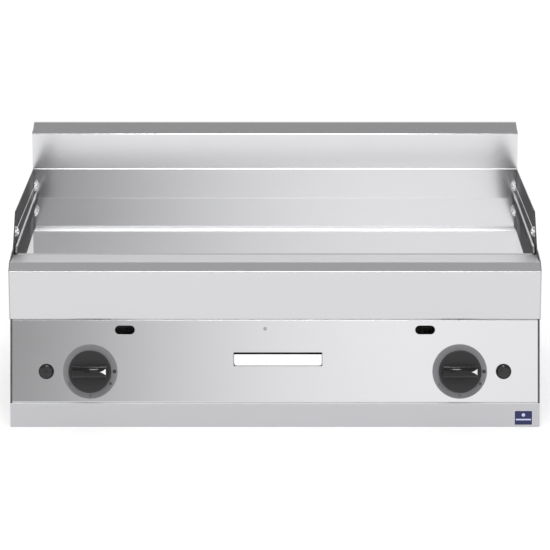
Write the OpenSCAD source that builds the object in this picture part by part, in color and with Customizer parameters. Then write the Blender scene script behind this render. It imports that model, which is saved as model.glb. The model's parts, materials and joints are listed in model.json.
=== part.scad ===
// Countertop gas griddle: sheet-metal casing with a smooth steel cooking plate,
// splash guards, rear flue hood, front grease gutter with a pull-out tray, and
// two burner zones, each with a push-and-turn gas tap and a piezo igniter.
//
// Frame: X to the right, Y to the back, Z up. The origin is the middle of the
// base's underside. The controls face -Y.

/* [Overall size] */
// Overall width across the splash guards
width = 800; // [800:1:1000]
// Depth from the front nose to the back panel
depth = 650; // [600:1:800]
// Height of the flat front lip above the base
lip_h = 246.3; // [240:0.1:300]
// Height of the splash guards above the lip
guard_rise = 55.7; // [50:0.1:90]
// Height of the flue hood above the splash guards
hood_rise = 71.8; // [62:0.1:100]

/* [Sheet metal] */
// Thickness of the casing sheet
sheet = 1.2; // [0.8:0.1:1.6]
// Thickness of the splash guards and the front nose
heavy_sheet = 1.5; // [1:0.1:2]
// Outside radius of a sheet bend
bend_r = 2.2; // [2.1:0.1:3]

/* [Front] */
// Length of the flat lip and bevel, from the nose to the gutter
nose_depth = 90; // [75:1:110]
// Height of the nose, from its underside to the lip
nose_h = 85.8; // [80:0.1:90]
// Length of the bevel along the depth
bevel_depth = 18.5; // [10:0.5:25]
// Drop of the bevel
bevel_drop = 10.8; // [6:0.2:14]
// Height of the kick strip under the control panel
kick_h = 36; // [30:1:40]
// How far the foot of the control panel stands forward of its top
panel_lean = 22; // [18:1:24]

/* [Cooking plate] */
// Thickness of the steel plate
plate_t = 12; // [8:0.5:15]
// Slope of the plate towards the gutter, in degrees
plate_slope = 0.87; // [0.5:0.01:1.5]
// Height of the side rims above the plate
rim_h = 9.5; // [8:0.5:20]
// Height of the side panels' upstands above the lip
upstand_h = 25.7; // [20:0.1:30]
// Thickness of the side rims
rim_t = 3; // [2:0.5:4]
// Width of the gap between the plate and the lip
gutter_gap = 20; // [12:1:24]

/* [Controls] */
// Distance of each knob from the middle
knob_x = 278; // [250:1:300]
// Distance of the knobs below the panel's top edge
knob_drop = 78.5; // [70:0.5:82]
// Diameter of the knob's disc
knob_d = 64; // [52:1:70]
// Diameter of the bezel behind the knob
bezel_d = 82; // [74:1:86]
// Diameter of the tap's spindle
spindle_d = 8; // [6:0.5:9]
// Push travel of the tap
push_travel = 4; // [2:0.5:5]
// Gap from the knob to the igniter button, centre to centre
igniter_offset = 66; // [58:1:68]
// Diameter of the igniter's collar
igniter_d = 23.2; // [20:0.2:28]
// Travel of the igniter button
igniter_travel = 5; // [3:0.5:5]
// Distance of each viewing slot from the middle
view_x = 226; // [200:1:250]
// Length of a viewing slot
view_w = 30; // [20:1:36]
// Height of a viewing slot
view_h = 13.3; // [8:0.1:18]

/* [Grease tray] */
// Distance of the tray from the middle
tray_x = 4.4; // [-40:0.1:40]
// Width of the tray
tray_w = 132; // [110:1:200]
// Height of the tray
tray_h = 16.5; // [14:0.5:17]
// Length of the tray from front to back
tray_l = 420; // [300:1:440]
// Clearance beside and under the tray
tray_gap = 0.5; // [0.4:0.1:1]

/* [Hidden] */
$fn = 48;
fit = 0.05;
guard_half = width / 2;
body_half = guard_half - heavy_sheet;
inner_half = body_half - sheet;
y_front = -depth / 2;
y_back = depth / 2;
nose_z = lip_h - nose_h;
guard_top = lip_h + guard_rise;
hood_top = guard_top + hood_rise;

// Control panel: top and bottom corners of its front face, and its tilt.
panel_top = [y_front + 12, nose_z];
panel_foot = [panel_top[0] - panel_lean, kick_h];
tilt = atan2(panel_lean, panel_top[1] - panel_foot[1]);
panel_half = body_half - 3;
kick_y = panel_foot[0] - 0.3;
flange = 14;

// Nose and gutter.
lip_back = y_front + nose_depth;
plate_y0 = lip_back + gutter_gap;
lip_drop = 20;
gutter_floor = lip_h - 40;
chamber_y = plate_y0 + 15;

// Rear wall, hood and flue.
wall_y = y_back - 41;
hood_y = wall_y - 19;
hood_face_h = hood_rise - 12;
grille_z0 = guard_top + 20;
grille_h = 42;
wall_top = guard_top + 43;
flange_y = wall_y - 20;

// Plate: top surface height at a depth y.
plate_z0 = lip_h - 2.5;
function plate_top(y) = plate_z0 + (y - plate_y0) * tan(plate_slope);
function plate_under(y) = plate_top(y) - plate_t;
function plate_seat(y) = plate_under(y) - 0.02;
plate_half = inner_half - rim_t - 0.5;

// Burner chamber.
shield_z = nose_z - 44.5;
chamber_half = plate_half - 9;
burner_z = nose_z - 5.5;
leg_gap = 90;
leg_r = 14;
burner_r = 12;
burner_y0 = chamber_y + 60;
burner_y1 = wall_y - 60;
window_w = view_w + 14;
window_x = view_x + 8;
window_z = burner_z - 10;
window_h = 24;
pilot_x = window_x + 6;
burner_x = pilot_x - leg_gap / 2;

// Taps and gas pipes.
knob_y = panel_top[0] - knob_drop * sin(tilt);
knob_z = panel_top[1] - knob_drop * cos(tilt);
knob_stand = 8;
disc_t = 11;
grip_w = 52;
grip_t = 17.6;
grip_h = 20;
bezel_t = 2.5;
valve_r = 13;
valve_l = 52;
spindle_r = spindle_d / 2;
spindle_l = 30;
spindle_flat = 1.2;
spindle_hole_r = spindle_r + 2;
rod_r = spindle_r + 1;
rod_l = 10;
manifold_r = 10.5;
manifold_y = y_front + 63;
manifold_z = knob_z - 31;
inlet_x = inner_half - 67;
inlet_r = 10.48;
inlet_out = 24;
pipe_y = y_front + 36;
igniter_x = knob_x + igniter_offset;
igniter_r = igniter_d / 2;
igniter_body_r = igniter_r - 2.6;
igniter_body_l = 58;
igniter_collar_h = 4;
button_r = igniter_r - 1.85;
stem_r = 5;

// Tray and runners.
tray_z = knob_z + 8.4;
tray_slot_h = 20.3;
tray_y0 = panel_top[0] - (panel_top[1] - tray_z) * tan(tilt) + 1;
spout_r = 16;
spout_y = (lip_back + plate_y0) / 2 + 3;
runner_t = 1.2;
stop_gap = 4;

// Injector, pilot, thermocouple and igniter lead, all in front of the chamber window.
injector_y = chamber_y - sheet - 22;
couple_x = window_x + 20;
lead_x = window_x - 8;
low_z = shield_z + 6;
couple_z = low_z + 6;
pilot_y = chamber_y + 14;
bracket_z = low_z + 3;
pilot_pipe_r = 2;
lead_r = 1.5;

// Fasteners: screw places on the back and the sides, and the holes for feet.
back_screw_xs = [-0.95, -0.33, 0.33, 0.95] * inner_half;
back_screw_zs = [16, guard_top - 12];
back_screw_r = 2;
side_screw_ys = [y_front + 130, 0, y_back - 60];
side_screw_z = nose_z + 30;
side_screw_r = 2.5;
guard_screw_r = 3;
panel_screw_x = -15;
panel_screw_drop = 14.5;
panel_screw_r = 1.5;
screw_play = 0.1;
foot_x = inner_half - 47;
foot_y = depth / 2 - 55;
foot_r = 5;
foot_nut_h = 12;

// A tool for through cuts, longer than any sheet is thick.
cut = 9;

steel = "gainsboro";
dark_steel = "dimgray";
black = "black";
brass_tone = "goldenrod";
copper_tone = "peru";

// ---- Sheet-metal helpers: paths are lists of [y, z] points ----

function unit(v) = v / norm(v);
function left_of(v) = [-v[1], v[0]];
function turned(v, a) = [v[0] * cos(a) - v[1] * sin(a), v[0] * sin(a) + v[1] * cos(a)];

// Points of an arc of radius r that rounds the corner at b between a and c.
function bend(a, b, c, r, steps = 4) =
    let (u = unit(a - b), v = unit(c - b), half = acos(u * v) / 2,
         centre = b + unit(u + v) * r / sin(half),
         first = b + u * r / tan(half) - centre,
         way = v[0] * u[1] - v[1] * u[0] > 0 ? 1 : -1,
         sweep = way * (180 - 2 * half))
    [for (i = [0:steps]) centre + turned(first, sweep * i / steps)];

// A path with every inner corner rounded to a sheet's bend radius.
function bent(path, r = bend_r) =
    let (last = len(path) - 1)
    concat([path[0]],
        [for (i = [1:last - 1]) each bend(path[i - 1], path[i], path[i + 1], r)],
        [path[last]]);

// The path moved by t to its left.
function beside(path, t) =
    let (last = len(path) - 1)
    [for (i = [0:last])
        let (before = left_of(unit(i > 0 ? path[i] - path[i - 1] : path[1] - path[0])),
             after = left_of(unit(i < last ? path[i + 1] - path[i] : path[i] - path[i - 1])))
        path[i] + t * (before + after) / (1 + before * after)];

function backwards(list) = [for (i = [len(list) - 1:-1:0]) list[i]];

// An outline in the Y-Z plane, extruded from x0 to x1.
module side_slab(outline, x0, x1) {
    translate([x0, 0, 0]) rotate([90, 0, 90]) linear_extrude(x1 - x0) polygon(outline);
}

// A folded sheet whose thickness lies to the left of its path.
module folded_sheet(path, t, x0, x1, r = bend_r) {
    outer = bent(path, r);
    side_slab(concat(outer, backwards(beside(outer, t))), x0, x1);
}

// A block from corner a to corner b.
module block(a, b) {
    translate(a) cube(b - a);
}

// Both sides of the casing: side is -1 on the left and 1 on the right.
module on_side(side) {
    if (side < 0) mirror([1, 0, 0]) children();
    else children();
}

// Local frame on the control panel's face: Z outwards, Y up the slope.
module on_panel(x, drop) {
    translate([x, panel_top[0] - drop * sin(tilt), panel_top[1] - drop * cos(tilt)])
        rotate([90 - tilt, 0, 0]) children();
}

// A round bar between two points.
module bar(a, b, r) {
    v = b - a;
    translate(a) rotate([0, acos(v[2] / norm(v)), atan2(v[1], v[0])])
        cylinder(h = norm(v), r = r, $fn = 24);
}

// A round pipe along a list of points, with a ball at each bend.
module pipe_run(points, r) {
    for (i = [1:len(points) - 1]) bar(points[i - 1], points[i], r);
    for (i = [1:1:len(points) - 2]) translate(points[i]) sphere(r = r, $fn = 24);
}

// A slot with round ends, lying along X and cut along Z.
module slot(w, h, depth) {
    for (side = [-1, 1]) translate([side * (w - h) / 2, 0, 0])
        cylinder(h = depth, d = h, center = true);
    cube([w - h, h, depth], center = true);
}

// A round-headed screw: head above z = 0, shank below.
module round_screw(head_r, head_h, shank_r, shank_l) {
    ball_r = (head_r * head_r + head_h * head_h) / (2 * head_h);
    intersection() {
        translate([0, 0, head_h - ball_r]) sphere(r = ball_r);
        cylinder(h = head_h, r = head_r);
    }
    translate([0, 0, -shank_l]) cylinder(h = shank_l + 0.2, r = shank_r);
}

// ---- Casing ----

module base_pan() {
    color(steel) difference() {
        union() {
            block([-inner_half, kick_y, 0], [inner_half, y_back - sheet, sheet]);
            for (side = [-1, 1]) on_side(side)
                block([inner_half - sheet, kick_y + 20, 0],
                    [inner_half, y_back - sheet, 12]);
        }
        for (x = [-foot_x, foot_x], y = [-foot_y, foot_y])
            translate([x, y, 0]) cylinder(h = cut, r = foot_r, center = true);
        for (i = [-2.5:2.5], y = [-150, 30, 210])
            translate([i * body_half / 3.6, y, sheet / 2]) slot(70, 9, cut);
    }
}

module foot_inserts() {
    color(dark_steel) for (x = [-foot_x, foot_x], y = [-foot_y, foot_y])
        translate([x, y, sheet]) difference() {
            cylinder(h = foot_nut_h, r = foot_r + 4, $fn = 6);
            translate([0, 0, -1]) cylinder(h = foot_nut_h + 2, r = foot_r);
        }
}

// The front edge follows the control panel and is hemmed inwards beside it. An
// upstand beside the cooking plate backs the splash guard.
module side_panel() {
    hem = 9;
    shoulder = lip_h - 10.3;
    upstand_y0 = y_front + 153;
    difference() {
        union() {
            side_slab([[kick_y, 0], [kick_y, kick_h], panel_foot, panel_top,
                [lip_back + 5, nose_z], [lip_back + 5, shoulder], [upstand_y0, shoulder],
                [upstand_y0 + 22, lip_h + upstand_h], [flange_y - 0.3, lip_h + upstand_h],
                [flange_y - 0.3, shoulder], [wall_y + sheet, shoulder],
                [wall_y + sheet, guard_top], [y_back, guard_top], [y_back, 0]],
                inner_half, body_half);
            side_slab([panel_foot, panel_top, panel_top + [hem, 0], panel_foot + [hem, 0]],
                panel_half + 0.2, body_half);
        }
        side_screw_places() cylinder(h = cut, r = side_screw_r + screw_play, center = true);
    }
}

// Places of the screws that hold a guard to its side panel, Z outwards.
module side_screw_places() {
    for (y = side_screw_ys) translate([guard_half, y, side_screw_z])
        rotate([0, 90, 0]) children();
}

module left_side_panel() {
    color(steel) on_side(-1) side_panel();
}

module right_side_panel() {
    color(steel) on_side(1) side_panel();
}

module back_panel() {
    color(steel) difference() {
        block([-inner_half, y_back - sheet, 0], [inner_half, y_back, grille_z0]);
        translate([inlet_x, y_back, manifold_z]) rotate([90, 0, 0])
            cylinder(h = cut, r = inlet_r + 0.5, center = true);
        for (i = [-3:2], z = [nose_z - 75, nose_z - 55])
            translate([i * body_half / 4, y_back, z]) rotate([90, 0, 0]) slot(70, 6, cut);
        for (x = back_screw_xs, z = back_screw_zs)
            translate([x, y_back, z]) rotate([90, 0, 0])
                cylinder(h = cut, r = back_screw_r + screw_play, center = true);
    }
}

module kick_strip() {
    color(steel) {
        block([-body_half, kick_y - sheet, 0], [body_half, kick_y, kick_h]);
        block([-inner_half, kick_y, kick_h - sheet], [inner_half, kick_y + flange, kick_h]);
        block([-inner_half, kick_y, sheet], [inner_half, kick_y + flange, 2 * sheet]);
    }
}

// The panel's own flanges lie on the kick strip below and the nose above.
module control_panel() {
    color(steel) difference() {
        folded_sheet([panel_top + [flange, 0], panel_top, panel_foot,
            panel_foot + [flange, 0]], sheet, -panel_half, panel_half);
        for (side = [-1, 1]) {
            on_panel(side * knob_x, knob_drop)
                cylinder(h = cut, r = spindle_hole_r, center = true);
            on_panel(side * igniter_x, knob_drop)
                cylinder(h = cut, r = igniter_body_r + 0.2, center = true);
            on_panel(side * view_x, view_h / 2 + 9.4) slot(view_w, view_h, cut);
        }
        on_panel(panel_screw_x, panel_screw_drop)
            cylinder(h = cut, r = panel_screw_r + screw_play, center = true);
        block([tray_x - tray_w / 2 - 0.75, y_front - 40, tray_z - tray_gap],
            [tray_x + tray_w / 2 + 0.75, y_front + 25, tray_z - tray_gap + tray_slot_h]);
    }
}

// Bull-nosed front: underside return, fascia, bevel, flat lip and drip flange.
module nose() {
    color(steel) folded_sheet([[lip_back, lip_h - lip_drop], [lip_back, lip_h],
        [y_front + bevel_depth, lip_h], [y_front, lip_h - bevel_drop],
        [panel_top[0] - 2, nose_z], [panel_top[0] + 18, nose_z]],
        heavy_sheet, -body_half, body_half);
}

// One cheek sheet: nose end, low front rim, raked rise and level top to the back.
module splash_guard() {
    rim_end = [y_front + 107, lip_h + 7.8];
    rise_end = [y_front + 107 + guard_rise * 0.95, guard_top];
    outline = concat(
        [[panel_top[0] - 2, nose_z], [y_front, lip_h - bevel_drop],
         [y_front + bevel_depth, lip_h], [y_front + 31, lip_h + 2],
         [y_front + 68, lip_h + 7]],
        bend([y_front + 68, lip_h + 7], rim_end, rise_end, 30, 6),
        bend(rim_end, rise_end, [hood_y, guard_top], 9, 5),
        [[y_back, guard_top], [y_back, nose_z]]);
    difference() {
        side_slab(outline, body_half, guard_half);
        guard_screw_places() cylinder(h = cut, r = guard_screw_r + screw_play, center = true);
        side_screw_places() cylinder(h = cut, r = side_screw_r + screw_play, center = true);
    }
}

// Screws on the guard's inner face, their heads towards the cooking area: one
// through the rear wall's flange, one near the guard's raked front edge.
module guard_screw_places() {
    for (place = [[inner_half, wall_y - 11], [body_half, y_front + 145]])
        translate([place[0], place[1], lip_h + 26]) rotate([0, -90, 0]) children();
}

module left_splash_guard() {
    color(steel) on_side(-1) splash_guard();
}

module right_splash_guard() {
    color(steel) on_side(1) splash_guard();
}

module guard_screws() {
    color(steel) for (side = [-1, 1]) on_side(side) guard_screw_places()
        round_screw(8, 6, guard_screw_r, heavy_sheet);
}

// Splash-back with side flanges that lie on the guards.
module rear_wall() {
    color(steel) difference() {
        union() {
            block([-inner_half, wall_y, plate_top(wall_y) - 20],
                [inner_half, wall_y + sheet, wall_top]);
            for (side = [-1, 1]) on_side(side)
                block([inner_half, flange_y, plate_top(wall_y)],
                    [body_half, wall_y + sheet, guard_top]);
        }
        for (side = [-1, 1]) on_side(side) guard_screw_places()
            cylinder(h = cut, r = guard_screw_r + screw_play, center = true);
    }
}

module flue_hood() {
    ridge = [y_back - 13, hood_top];
    face_top = [hood_y, guard_top + hood_face_h];
    color(steel) {
        folded_sheet([[y_back, grille_z0 + grille_h], [y_back, hood_top], ridge, face_top,
            [hood_y, guard_top], [wall_y, guard_top]], sheet,
            -guard_half + sheet, guard_half - sheet);
        for (side = [-1, 1]) on_side(side)
            side_slab([[y_back, guard_top], [y_back, hood_top], ridge, face_top,
                [hood_y, guard_top]], guard_half - sheet, guard_half);
    }
}

module flue_grille() {
    pitch = body_half / 10.5;
    color(steel) difference() {
        block([-guard_half + sheet, y_back - sheet, grille_z0],
            [guard_half - sheet, y_back, grille_z0 + grille_h]);
        for (i = [-9.5:9.5]) translate([i * pitch, y_back, grille_z0 + grille_h / 2])
            rotate([90, 90, 0]) slot(30, 16, cut);
    }
}

module flue_baffle() {
    gap = 6;
    color(steel) folded_sheet([[y_back - sheet, guard_top - 20],
        [y_back - sheet - gap, guard_top - 20], [y_back - sheet - gap, shield_z + 20],
        [y_back - sheet, shield_z + 20]], sheet, -inner_half + 1, inner_half - 1);
}

// ---- Cooking plate, gutter and tray ----

module griddle_plate() {
    y1 = wall_y;
    edge = 2;
    color("silver") side_slab([[plate_y0, plate_under(plate_y0)],
        [plate_y0, plate_top(plate_y0) - edge], [plate_y0 + edge, plate_top(plate_y0 + edge)],
        [y1, plate_top(y1)], [y1, plate_under(y1)]], -plate_half, plate_half);
}

module plate_rims() {
    y0 = plate_y0 + 2;
    y1 = wall_y;
    color(steel) for (side = [-1, 1]) on_side(side)
        side_slab([[y0, plate_under(y0)], [y0, plate_top(y0) + 1],
            [y0 + rim_h, plate_top(y0) + rim_h], [y1, plate_top(y1) + rim_h],
            [y1, plate_under(y1)]], plate_half, plate_half + rim_t);
}

module grease_gutter() {
    y0 = lip_back - 8;
    y1 = chamber_y - sheet;
    end = plate_half - 4;
    color(steel) difference() {
        union() {
            folded_sheet([[y0, lip_h - heavy_sheet], [y0, gutter_floor],
                [y1, gutter_floor], [y1, plate_under(y1) - 2]], sheet, -end, end);
            for (side = [-1, 1]) on_side(side)
                block([end - sheet, y0, gutter_floor + bend_r],
                    [end, y1, lip_h - lip_drop - 1]);
            translate([tray_x, spout_y, tray_z + tray_h + 4])
                cylinder(h = gutter_floor - tray_z - tray_h - 4 + sheet, r = spout_r);
        }
        translate([tray_x, spout_y, tray_z])
            cylinder(h = gutter_floor - tray_z + 9, r = spout_r - sheet);
    }
}

// Drip tray: an open box whose front edge leans with the control panel.
module grease_tray() {
    lean = tray_h * tan(tilt);
    y1 = tray_y0 + tray_l;
    wall = 1.2;
    color(steel) difference() {
        side_slab([[tray_y0 + 2, tray_z], [tray_y0 + 2 + lean, tray_z + tray_h],
            [y1, tray_z + tray_h], [y1, tray_z]],
            tray_x - tray_w / 2, tray_x + tray_w / 2);
        side_slab([[tray_y0 + 2 + wall, tray_z + wall],
            [tray_y0 + 3 + wall + lean, tray_z + tray_h + 1],
            [y1 - wall, tray_z + tray_h + 1], [y1 - wall, tray_z + wall]],
            tray_x - tray_w / 2 + wall, tray_x + tray_w / 2 - wall);
    }
}

// Front plate of the tray, with rounded lower corners.
module tray_front() {
    corner = 4;
    lean = tray_h * tan(tilt);
    color("white") intersection() {
        side_slab([[tray_y0, tray_z], [tray_y0 + lean, tray_z + tray_h],
            [tray_y0 + 2 + lean, tray_z + tray_h], [tray_y0 + 2, tray_z]],
            tray_x - tray_w / 2, tray_x + tray_w / 2);
        union() {
            for (side = [-1, 1])
                translate([tray_x + side * (tray_w / 2 - corner), tray_y0, tray_z + corner])
                    rotate([90, 0, 0]) cylinder(h = 40, r = corner, center = true);
            block([tray_x - tray_w / 2 + corner, tray_y0 - 20, tray_z],
                [tray_x + tray_w / 2 - corner, tray_y0 + 20, tray_z + tray_h]);
            block([tray_x - tray_w / 2, tray_y0 - 20, tray_z + corner],
                [tray_x + tray_w / 2, tray_y0 + 20, tray_z + tray_h]);
        }
    }
}

module tray_runners() {
    web = tray_w / 2 + tray_gap;
    y0 = tray_y0 + 10;
    y1 = tray_y0 + tray_l + stop_gap;
    z0 = tray_z - tray_gap - runner_t;
    color(steel) translate([tray_x, 0, 0]) {
        for (side = [-1, 1]) on_side(side) {
            block([web, y0, z0], [web + runner_t, y1 + runner_t, shield_z]);
            block([web - 8, y0, z0], [web + runner_t, y1 + runner_t, z0 + runner_t]);
        }
        block([-web - runner_t, y1, z0], [web + runner_t, y1 + runner_t, shield_z]);
    }
}

// ---- Burner chamber ----

module heat_shield() {
    color(steel) block([-inner_half, chamber_y - sheet, shield_z],
        [inner_half, y_back - sheet, shield_z + sheet]);
}

module chamber_front_wall() {
    back = chamber_y + 16;
    z0 = shield_z + sheet;
    color(steel) difference() {
        union() {
            side_slab([[chamber_y - sheet, z0], [chamber_y - sheet, plate_seat(chamber_y - sheet)],
                [chamber_y, plate_seat(chamber_y)], [chamber_y, z0]],
                -chamber_half, chamber_half);
            side_slab([[chamber_y, plate_seat(chamber_y)], [back, plate_seat(back)],
                [back, plate_seat(back) - sheet], [chamber_y, plate_seat(chamber_y) - sheet]],
                -chamber_half, chamber_half);
        }
        for (side = [-1, 1]) on_side(side) {
            block([window_x - window_w / 2, chamber_y - cut, window_z - window_h / 2],
                [window_x + window_w / 2, chamber_y + cut, window_z + window_h / 2]);
            through_wall(burner_x, burner_z, burner_r + 0.2);
            through_wall(pilot_x, low_z, pilot_pipe_r + 0.4);
            through_wall(couple_x, couple_z, lead_r + 0.5);
            through_wall(lead_x, low_z, lead_r + 0.5);
        }
    }
}

module through_wall(x, z, r) {
    translate([x, chamber_y - sheet / 2, z]) rotate([90, 0, 0])
        cylinder(h = 4, r = r, center = true, $fn = 24);
}

module chamber_side_walls() {
    y0 = chamber_y;
    y1 = wall_y;
    z0 = shield_z + sheet;
    color(steel) for (side = [-1, 1]) on_side(side)
        side_slab([[y0, z0], [y0, plate_seat(y0)], [y1, plate_seat(y1)], [y1, z0]],
            chamber_half, chamber_half + sheet);
}

module insulation() {
    y0 = chamber_y;
    z0 = shield_z + sheet;
    color("khaki") for (side = [-1, 1]) on_side(side)
        block([chamber_half + sheet, y0, z0],
            [inner_half, wall_y - 2, plate_under(chamber_y) - 4]);
}

// Three-leg burner: a header across the front and ported legs to the back.
module burner() {
    inner = leg_r - 1.2;
    color(dark_steel) difference() {
        union() {
            translate([burner_x, chamber_y - sheet - 12, burner_z]) rotate([-90, 0, 0])
                cylinder(h = burner_y0 - chamber_y + 20, r = burner_r);
            translate([burner_x, burner_y0, burner_z]) rotate([0, 90, 0])
                cylinder(h = 2 * leg_gap + 2 * leg_r, r = leg_r, center = true);
            for (i = [-1:1]) translate([burner_x + i * leg_gap, burner_y0, burner_z])
                rotate([-90, 0, 0]) cylinder(h = burner_y1 - burner_y0, r = leg_r);
        }
        translate([burner_x, chamber_y - 30, burner_z]) rotate([-90, 0, 0])
            cylinder(h = burner_y0 - chamber_y + 30, r = burner_r - 1.2);
        translate([burner_x, burner_y0, burner_z]) rotate([0, 90, 0])
            cylinder(h = 2 * leg_gap + 2 * inner, r = inner, center = true);
        for (i = [-1:1]) {
            translate([burner_x + i * leg_gap, burner_y0, burner_z]) rotate([-90, 0, 0])
                cylinder(h = burner_y1 - burner_y0 - 1.2, r = inner);
            for (y = [burner_y0 + 30:24:burner_y1 - 12])
                translate([burner_x + i * leg_gap, y, burner_z + leg_r])
                    cube([14, 2.4, 8], center = true);
        }
    }
}

module left_burner() {
    on_side(-1) burner();
}

module right_burner() {
    on_side(1) burner();
}

module burner_supports() {
    z0 = shield_z + sheet;
    y = burner_y1 - 30;
    color(steel) for (side = [-1, 1]) on_side(side) {
        block([burner_x - leg_gap - 20, y, z0],
            [burner_x + leg_gap + 20, y + 12, z0 + sheet]);
        for (i = [-1:1]) difference() {
            block([burner_x + i * leg_gap - 10, y + 12 - sheet, z0 + sheet],
                [burner_x + i * leg_gap + 10, y + 12, burner_z - 8]);
            translate([burner_x + i * leg_gap, y, burner_z]) rotate([-90, 0, 0])
                cylinder(h = 20, r = leg_r + fit);
        }
    }
}

module injector() {
    arm = burner_r + 3;
    color(brass_tone) translate([burner_x, injector_y, burner_z]) rotate([-90, 0, 0]) {
        cylinder(h = 8, r = 8, $fn = 6);
        cylinder(h = 12, r = 3);
    }
    color(steel) translate([burner_x, 0, burner_z]) {
        difference() {
            block([-arm - sheet, injector_y + 3, -8], [arm + sheet, injector_y + 3 + sheet, 8]);
            translate([0, injector_y, 0]) rotate([-90, 0, 0]) cylinder(h = 12, r = 5);
        }
        for (side = [-1, 1]) on_side(side)
            block([arm, injector_y + 3, -8], [arm + sheet, chamber_y - sheet, 8]);
    }
}

module left_injector() {
    on_side(-1) injector();
}

module right_injector() {
    on_side(1) injector();
}

// ---- Gas train ----

module gas_manifold() {
    color(steel) translate([-knob_x - 30, manifold_y, manifold_z]) rotate([0, 90, 0])
        cylinder(h = knob_x + 30 + inlet_x - 13, r = manifold_r);
}

module gas_inlet() {
    color(brass_tone) {
        bar([inlet_x - 13, manifold_y, manifold_z], [inlet_x, manifold_y, manifold_z], 13);
        translate([inlet_x, manifold_y, manifold_z]) sphere(r = 13);
        bar([inlet_x, manifold_y, manifold_z], [inlet_x, manifold_y + 25, manifold_z], 13);
        translate([inlet_x, manifold_y, manifold_z]) rotate([-90, 0, 0])
            cylinder(h = y_back + inlet_out - manifold_y, r = inlet_r);
        translate([inlet_x, y_back, manifold_z]) rotate([-90, 0, 0])
            cylinder(h = 7, r = 17, $fn = 6);
    }
}

module gas_valve() {
    color(brass_tone) difference() {
        union() {
            on_panel(knob_x, knob_drop) translate([0, 0, -sheet - valve_l])
                cylinder(h = valve_l, r = valve_r);
            block([knob_x - 9, manifold_y - 26, manifold_z],
                [knob_x + 9, manifold_y + 6, knob_z - 6]);
        }
        on_panel(knob_x, knob_drop) {
            translate([0, 0, -spindle_l - 0.5]) cylinder(h = 40, r = spindle_r + fit);
            translate([0, 0, -spindle_l - rod_l - push_travel - 1])
                cylinder(h = rod_l + push_travel + 1.5, r = rod_r + fit);
        }
        translate([knob_x, manifold_y, manifold_z]) rotate([0, 90, 0])
            cylinder(h = 40, r = manifold_r, center = true);
    }
}

module left_gas_valve() {
    on_side(-1) gas_valve();
}

module right_gas_valve() {
    on_side(1) gas_valve();
}

// Plunger inside the tap: it slides in when the knob is pushed.
module push_rod(side) {
    color(brass_tone) on_panel(side * knob_x, knob_drop)
        translate([0, 0, -spindle_l - rod_l]) cylinder(h = rod_l, r = rod_r);
}

module left_push_rod() {
    push_rod(-1);
}

module right_push_rod() {
    push_rod(1);
}

// Spindle with a flat that drives the knob.
module spindle(side) {
    color(steel) on_panel(side * knob_x, knob_drop) difference() {
        translate([0, 0, -spindle_l]) cylinder(h = spindle_l + knob_stand + disc_t, r = spindle_r);
        translate([-spindle_r, spindle_r - spindle_flat, knob_stand + 1])
            cube([2 * spindle_r, 4, disc_t + 2]);
    }
}

module left_spindle() {
    spindle(-1);
}

module right_spindle() {
    spindle(1);
}

// Knob: a disc with a bar grip. At rest it points at the off mark, to the right.
module knob(side) {
    hub = 3;
    color(black) on_panel(side * knob_x, knob_drop) translate([0, 0, knob_stand]) {
        difference() {
            union() {
                cylinder(h = disc_t - 3, d = knob_d);
                rotate_extrude() polygon([[0, disc_t - 3], [knob_d / 2, disc_t - 3],
                    [knob_d / 2 - 2, disc_t - 1], [knob_d / 2 - 5, disc_t], [0, disc_t]]);
                rotate([90, 0, 0]) linear_extrude(grip_t, center = true)
                    polygon([[-grip_w / 2, disc_t - 1], [grip_w / 2, disc_t - 1],
                        [grip_w / 2, disc_t + grip_h - 3], [grip_w / 2 - 3, disc_t + grip_h],
                        [-grip_w / 2 + 3, disc_t + grip_h], [-grip_w / 2, disc_t + grip_h - 3]]);
            }
            difference() {
                translate([0, 0, -1]) cylinder(h = disc_t + 1.1, r = spindle_r + fit);
                translate([-spindle_r, spindle_r - spindle_flat + fit, 1.1])
                    cube([2 * spindle_r, 4, disc_t]);
            }
            difference() {
                translate([0, 0, -1]) cylinder(h = disc_t - 2, r = knob_d / 2 - 3);
                translate([0, 0, -2]) cylinder(h = disc_t, r = spindle_r + hub);
            }
        }
    }
}

module left_knob() {
    knob(-1);
}

module right_knob() {
    knob(1);
}

module bezel(side) {
    color("gray") on_panel(side * knob_x, knob_drop) difference() {
        union() {
            cylinder(h = bezel_t - 0.8, d = bezel_d);
            rotate_extrude() polygon([[0, bezel_t - 0.8], [bezel_d / 2, bezel_t - 0.8],
                [bezel_d / 2 - 0.8, bezel_t], [0, bezel_t]]);
        }
        cylinder(h = cut, r = spindle_hole_r, center = true);
    }
}

module left_bezel() {
    bezel(-1);
}

module right_bezel() {
    bezel(1);
}

// ---- Pipes, pilots and ignition ----

// Point on a tap's axis, at a depth behind the panel's face.
function tap_axis(inward) = [knob_x, knob_y + inward * cos(tilt), knob_z - inward * sin(tilt)];

module burner_pipe() {
    top = [knob_x, pipe_y, burner_z];
    color(copper_tone) difference() {
        pipe_run([[knob_x, pipe_y, knob_z], top, [burner_x, pipe_y, burner_z],
            [burner_x, injector_y, burner_z]], 4);
        on_panel(knob_x, knob_drop) translate([0, 0, -valve_l - sheet])
            cylinder(h = valve_l, r = valve_r + fit);
    }
}

module left_burner_pipe() {
    on_side(-1) burner_pipe();
}

module right_burner_pipe() {
    on_side(1) burner_pipe();
}

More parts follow.
